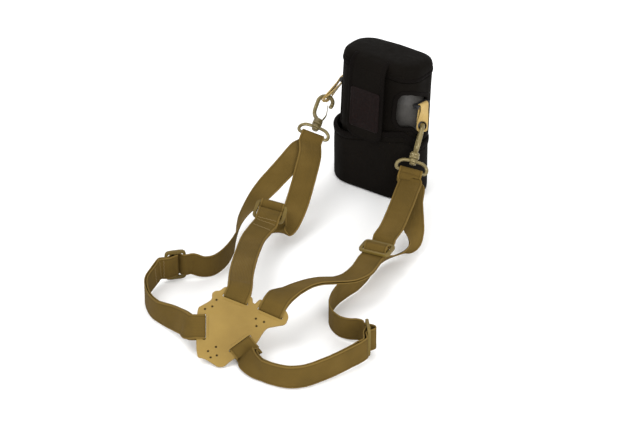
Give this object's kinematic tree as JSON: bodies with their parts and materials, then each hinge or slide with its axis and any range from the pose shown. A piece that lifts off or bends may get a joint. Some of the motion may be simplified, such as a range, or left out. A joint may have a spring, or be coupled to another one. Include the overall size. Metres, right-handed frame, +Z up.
{
  "type": "binocular chest harness",
  "caption": "Tan elastic chest harness with a moulded back plate, slide adjusters and swivel snap hooks, clipped to a binocular standing in a black soft cover.",
  "frame": {"origin": "middle of the whole object on the floor", "axes": "+Z up, +X to the right and +Y away in the pictured view"},
  "size_m": [0.2974, 0.4478, 0.1609],
  "materials": {
    "webbing": "matte",
    "plate": "satin",
    "slide_plastic": "satin",
    "hook_metal": "satin",
    "gate_spring": "satin",
    "tab": "matte",
    "neoprene": "matte",
    "hook_loop": "matte",
    "armour": "matte",
    "trim": "satin",
    "glass": "polished"
  },
  "bodies": {
    "base": {"back_plate": "plate", "webbing_left": "webbing", "webbing_right": "webbing", "swivel_eye_left": "hook_metal", "swivel_eye_right": "hook_metal", "cover_body": "neoprene", "body_patch": "hook_loop", "barrel_left": "armour", "barrel_right": "armour", "objective_lens_left": "glass", "objective_lens_right": "glass", "ocular_lens_left": "glass", "ocular_lens_right": "glass", "hinge_pin": "trim", "strap_lug_left": "trim", "strap_lug_right": "trim", "tab_left": "tab", "tab_right": "tab"},
    "slide_left_lower": {"adjuster_left_lower": "slide_plastic", "sewn_end_left_lower": "webbing"},
    "slide_left_upper": {"adjuster_left_upper": "slide_plastic", "sewn_end_left_upper": "webbing"},
    "slide_right_upper": {"adjuster_right_upper": "slide_plastic", "sewn_end_right_upper": "webbing"},
    "slide_right_lower": {"adjuster_right_lower": "slide_plastic", "sewn_end_right_lower": "webbing"},
    "snap_left": {"hook_left": "hook_metal", "swivel_pin_left": "hook_metal"},
    "snap_right": {"hook_right": "hook_metal", "swivel_pin_right": "hook_metal"},
    "leaf_left": {"gate_left": "gate_spring"},
    "leaf_right": {"gate_right": "gate_spring"},
    "lid": {"cover_lid": "neoprene", "flap_patch": "hook_loop"},
    "focus": {"focus_wheel": "trim"},
    "diopter": {"diopter_ring": "trim"},
    "cup_left": {"eyecup_left": "trim"},
    "cup_right": {"eyecup_right": "trim"}
  },
  "joints": [
    {"name": "adjust_left_lower", "type": "slide", "parent": "base", "child": "slide_left_lower", "axis": [0.9707, 0.2402, 0], "range_m": [-0.008, 0.008], "deforming": ["webbing_left", "sewn_end_left_lower"]},
    {"name": "adjust_left_upper", "type": "slide", "parent": "base", "child": "slide_left_upper", "axis": [0.2616, 0.8787, 0.3994], "range_m": [-0.008, 0.008], "deforming": ["webbing_left", "sewn_end_left_upper"]},
    {"name": "adjust_right_upper", "type": "slide", "parent": "base", "child": "slide_right_upper", "axis": [0.41, 0.9121, 0], "range_m": [-0.008, 0.008], "deforming": ["webbing_right", "sewn_end_right_upper"]},
    {"name": "adjust_right_lower", "type": "slide", "parent": "base", "child": "slide_right_lower", "axis": [-0.1, 0.995, 0], "range_m": [-0.008, 0.008], "deforming": ["webbing_right", "sewn_end_right_lower"]},
    {"name": "swivel_left", "type": "hinge", "parent": "base", "child": "snap_left", "pos_m": [0.02109, 0.16251, 0.0648], "axis": [0.3127, 0.8288, 0.464], "range_deg": [-13, 13]},
    {"name": "gate_spring_left", "type": "hinge", "parent": "snap_left", "child": "leaf_left", "pos_m": [0.03042, 0.17775, 0.07333], "axis": [-0.0002, -0.4884, 0.8726], "range_deg": [0, 20], "stiffness_Nm_per_rad": 0.02, "springref_deg": -20.05},
    {"name": "swivel_right", "type": "hinge", "parent": "base", "child": "snap_right", "pos_m": [0.12528, 0.11006, 0.05081], "axis": [0.2449, 0.6539, 0.7159], "range_deg": [-13, 13]},
    {"name": "gate_spring_right", "type": "hinge", "parent": "snap_right", "child": "leaf_right", "pos_m": [0.12965, 0.12537, 0.06257], "axis": [0.9622, -0.0733, -0.2623], "range_deg": [0, 20], "stiffness_Nm_per_rad": 0.02, "springref_deg": -20.05},
    {"name": "lid_hinge", "type": "hinge", "parent": "base", "child": "lid", "pos_m": [0.11573, 0.20183, 0.14253], "axis": [-0.8186, 0.5736, 0.03], "range_deg": [0, 140]},
    {"name": "focus_turn", "type": "hinge", "parent": "base", "child": "focus", "pos_m": [0.09932, 0.17955, 0.12092], "axis": [0.0366, 0, 0.9993], "range_deg": [-300, 300]},
    {"name": "diopter_turn", "type": "hinge", "parent": "base", "child": "diopter", "pos_m": [0.12108, 0.16464, 0.13313], "axis": [0.0366, 0, 0.9993], "range_deg": [-40, 40]},
    {"name": "eyecup_twist_left", "type": "slide", "parent": "base", "child": "cup_left", "axis": [0.0366, 0, 0.9993], "range_m": [-0.0038, 0]},
    {"name": "eyecup_twist_right", "type": "slide", "parent": "base", "child": "cup_right", "axis": [0.0366, 0, 0.9993], "range_m": [-0.0038, 0]}
  ]
}
